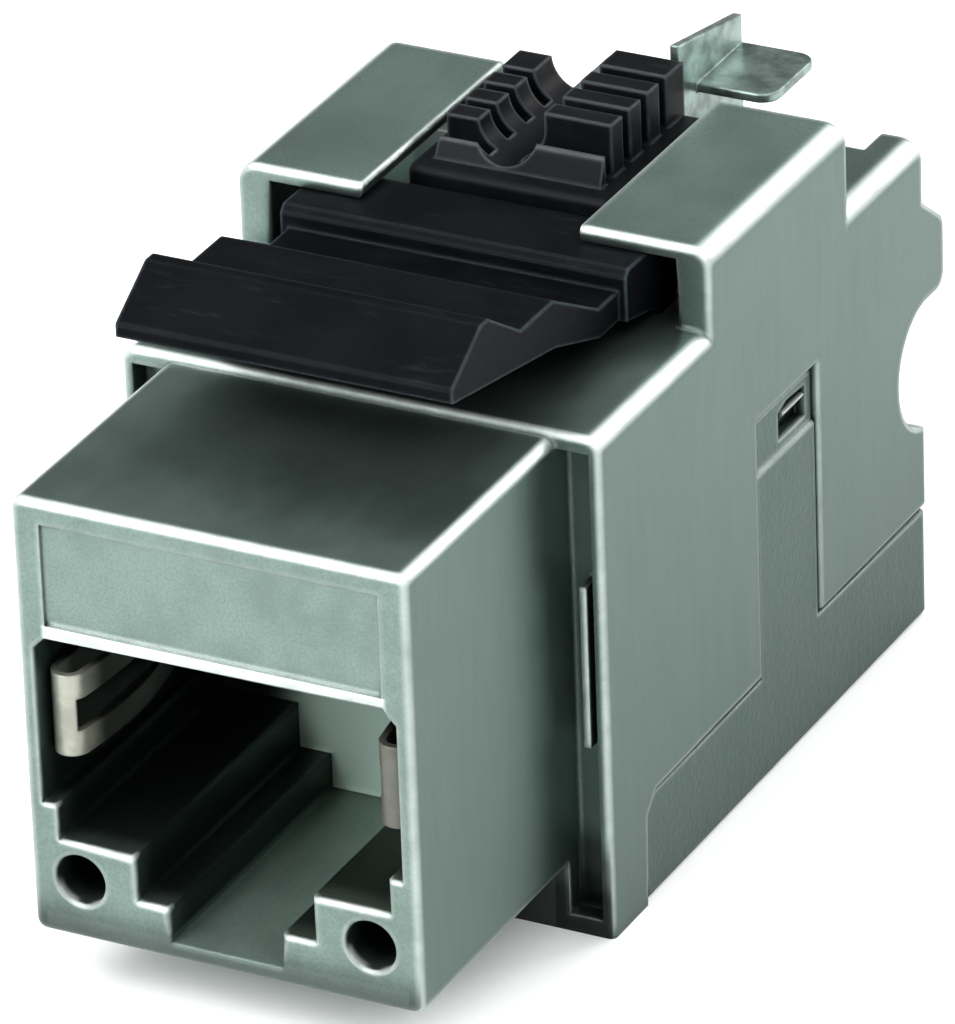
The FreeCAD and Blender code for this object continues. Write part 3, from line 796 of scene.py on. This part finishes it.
class JACK_OT_sheet_metal(bpy.types.Operator):
    """Shield clip, shield springs and terminals"""

    bl_idname = "jack.sheet_metal"
    bl_label = "Sheet metal"

    def execute(self, context):
        finish = context.scene.jack_finish
        clip = tuple(finish.clip)
        spring = tuple(finish.spring)
        # Painted shade: the right spring's colour is a darker copy of the left one's
        shaded_spring = rgb(spring, 0.35)
        tinned = plated_sheet("clip_tin", clip, rgb(clip, 0.45), roughness=0.34, metallic=0.8)
        cream = plated_sheet(
            "spring_tin", spring, rgb(spring, 0.75),
            roughness=0.42, metallic=0.6, shade_depths=SPRING_SHADE_DEPTHS,
        )
        # The right spring's material is the spring finish with painted shade
        grey = plated_sheet(
            "spring_tin_dull", shaded_spring, rgb(shaded_spring, 0.8),
            roughness=0.46, metallic=0.6, shade_depths=SPRING_SHADE_DEPTHS,
        )
        soft_copy(
            "shield_clip", "clip_fold", tinned, "housing",
            CLIP_ROUND, FINE_SEGMENTS,
        )
        for side, tin in (("left", cream), ("right", grey)):
            node = f"shield_spring_{side}"
            soft_copy(node, f"spring_fold_{side}", tin, "housing", SPRING_ROUND)
        for name in nodes_named("idc_terminal"):
            paint(name, tinned)
        return {"FINISHED"}


class JACK_OT_contacts(bpy.types.Operator):
    """Contact insert, contact wires and circuit board"""

    bl_idname = "jack.contacts"
    bl_label = "Contacts"

    def execute(self, context):
        finish = context.scene.jack_finish
        gold = tuple(finish.contact)
        plated = plated_sheet("contact_gold", gold, rgb(gold, 0.75), roughness=0.22)
        grey = moulded_plastic(
            "insert_grey", INSERT_GREY, edge_wear_highlight_tint=INSERT_EDGE,
            roughness=0.45, gloss=0.4,
        )
        board = laminate("board_green", BOARD_MASK, BOARD_COPPER)
        paint("contact_insert", grey)
        paint("circuit_board", board)
        for name in nodes_named("contact_wire"):
            paint(name, plated)
        return {"FINISHED"}


# ----------------------------------------------------------------------- stage


def soft_light(name, place, width, height, power):
    """Area light at a place in millimetres, turned to the part."""
    place = Vector(place) * MM
    data = bpy.data.lights.new(name, "AREA")
    data.shape = "RECTANGLE"
    data.size = width * MM
    data.size_y = height * MM
    data.energy = power
    lamp = bpy.data.objects.new(name, data)
    lamp.location = place
    lamp.rotation_mode = "QUATERNION"
    lamp.rotation_quaternion = (Vector(LIT_POINT) * MM - place).to_track_quat("-Z", "Y")
    bpy.context.collection.objects.link(lamp)


def studio_camera():
    """Camera that looks down on the port, the rails and the right side."""
    data = bpy.data.cameras.new("studio_camera")
    data.sensor_width = VIEW_SENSOR
    data.lens = VIEW_LENS
    data.clip_start, data.clip_end = VIEW_CLIP
    camera = bpy.data.objects.new("studio_camera", data)
    bpy.context.collection.objects.link(camera)
    right = Vector((math.cos(VIEW_AZIMUTH), math.sin(VIEW_AZIMUTH), 0))
    level_back = Vector((right.y, -right.x, 0))
    back = level_back * math.cos(VIEW_ELEVATION) + Vector((0, 0, math.sin(VIEW_ELEVATION)))
    up = back.cross(right)
    turned_right = right * math.cos(VIEW_ROLL) + up * math.sin(VIEW_ROLL)
    turned_up = up * math.cos(VIEW_ROLL) - right * math.sin(VIEW_ROLL)
    turn = Matrix((turned_right, turned_up, back)).transposed().to_4x4()
    camera.matrix_world = Matrix.Translation(VIEW_POINT + back * VIEW_DISTANCE) @ turn
    bpy.context.scene.camera = camera


def studio_floor():
    """Thick pale card with rounded corners, whose face the part stands on."""
    bpy.ops.object.select_all(action="DESELECT")
    bpy.ops.mesh.primitive_plane_add(size=CARD_SIDE * MM, location=(0, 0, 0))
    floor = bpy.context.object
    floor.name = "studio_floor"
    bpy.ops.object.mode_set(mode="EDIT")
    bpy.ops.mesh.select_all(action="SELECT")
    bpy.ops.mesh.bevel(offset=CARD_CORNER * MM, segments=8, affect="VERTICES")
    drop = (0, 0, -CARD_THICKNESS * MM)
    bpy.ops.mesh.extrude_region_move(TRANSFORM_OT_translate={"value": drop})
    bpy.ops.mesh.select_all(action="SELECT")
    bpy.ops.mesh.normals_make_consistent(inside=False)
    bpy.ops.object.mode_set(mode="OBJECT")
    shader = finish_named("studio_card")
    fibre = shader.noise(1.2, 3.0, 0.6)
    colour = shader.mix(fibre, rgb(CARD_DARK), rgb(CARD_PALE))
    floor.data.materials.append(shader.finish(Base_Color=colour, Roughness=0.9))


def studio_world(strength):
    """Pale near the horizon and dim overhead, like a sweep under a low ceiling."""
    world = bpy.data.worlds.new("studio_world")
    sky = Shader(world, "Background")
    direction = sky.node("ShaderNodeTexCoord", {}, {}).outputs["Generated"]
    height = sky.split(direction)[2]
    rise = sky.rising(height, 0.05, 0.30)
    colour = sky.mix(rise, rgb(HORIZON), rgb(OVERHEAD))
    bpy.context.scene.world = sky.finish(Color=colour, Strength=strength)


class JACK_OT_stage(bpy.types.Operator):
    """Floor, lights and camera"""

    bl_idname = "jack.stage"
    bl_label = "Stage"

    def execute(self, context):
        studio = context.scene.jack_studio
        studio_camera()
        studio_floor()
        studio_world(studio.sky)
        for name, place, width, height in LIGHTS:
            soft_light(name, place, width, height, getattr(studio, name))
        context.scene.view_settings.view_transform = "Standard"
        return {"FINISHED"}


class JACK_PT_sidebar(bpy.types.Panel):
    """Sidebar panel of the keystone jack"""

    bl_idname = "JACK_PT_sidebar"
    bl_label = "Keystone Jack"
    bl_space_type = "VIEW_3D"
    bl_region_type = "UI"
    bl_category = "Keystone Jack"

    def draw(self, context):
        scene = context.scene
        for values in (scene.jack_finish, scene.jack_studio):
            for name in values.__annotations__:
                self.layout.prop(values, name)
        for step in STEPS:
            self.layout.operator(step.bl_idname)


STEPS = (
    JACK_OT_castings,
    JACK_OT_latch,
    JACK_OT_manager,
    JACK_OT_sheet_metal,
    JACK_OT_contacts,
    JACK_OT_stage,
)
CLASSES = (JackFinish, JackStudio, *STEPS, JACK_PT_sidebar)


def register():
    for item in CLASSES:
        bpy.utils.register_class(item)
    bpy.types.Scene.jack_finish = PointerProperty(type=JackFinish)
    bpy.types.Scene.jack_studio = PointerProperty(type=JackStudio)


def unregister():
    del bpy.types.Scene.jack_studio
    del bpy.types.Scene.jack_finish
    for item in reversed(CLASSES):
        bpy.utils.unregister_class(item)


def main():
    register()
    for step in STEPS:
        group, action = step.bl_idname.split(".")
        getattr(getattr(bpy.ops, group), action)()


if __name__ == "__main__":
    main()
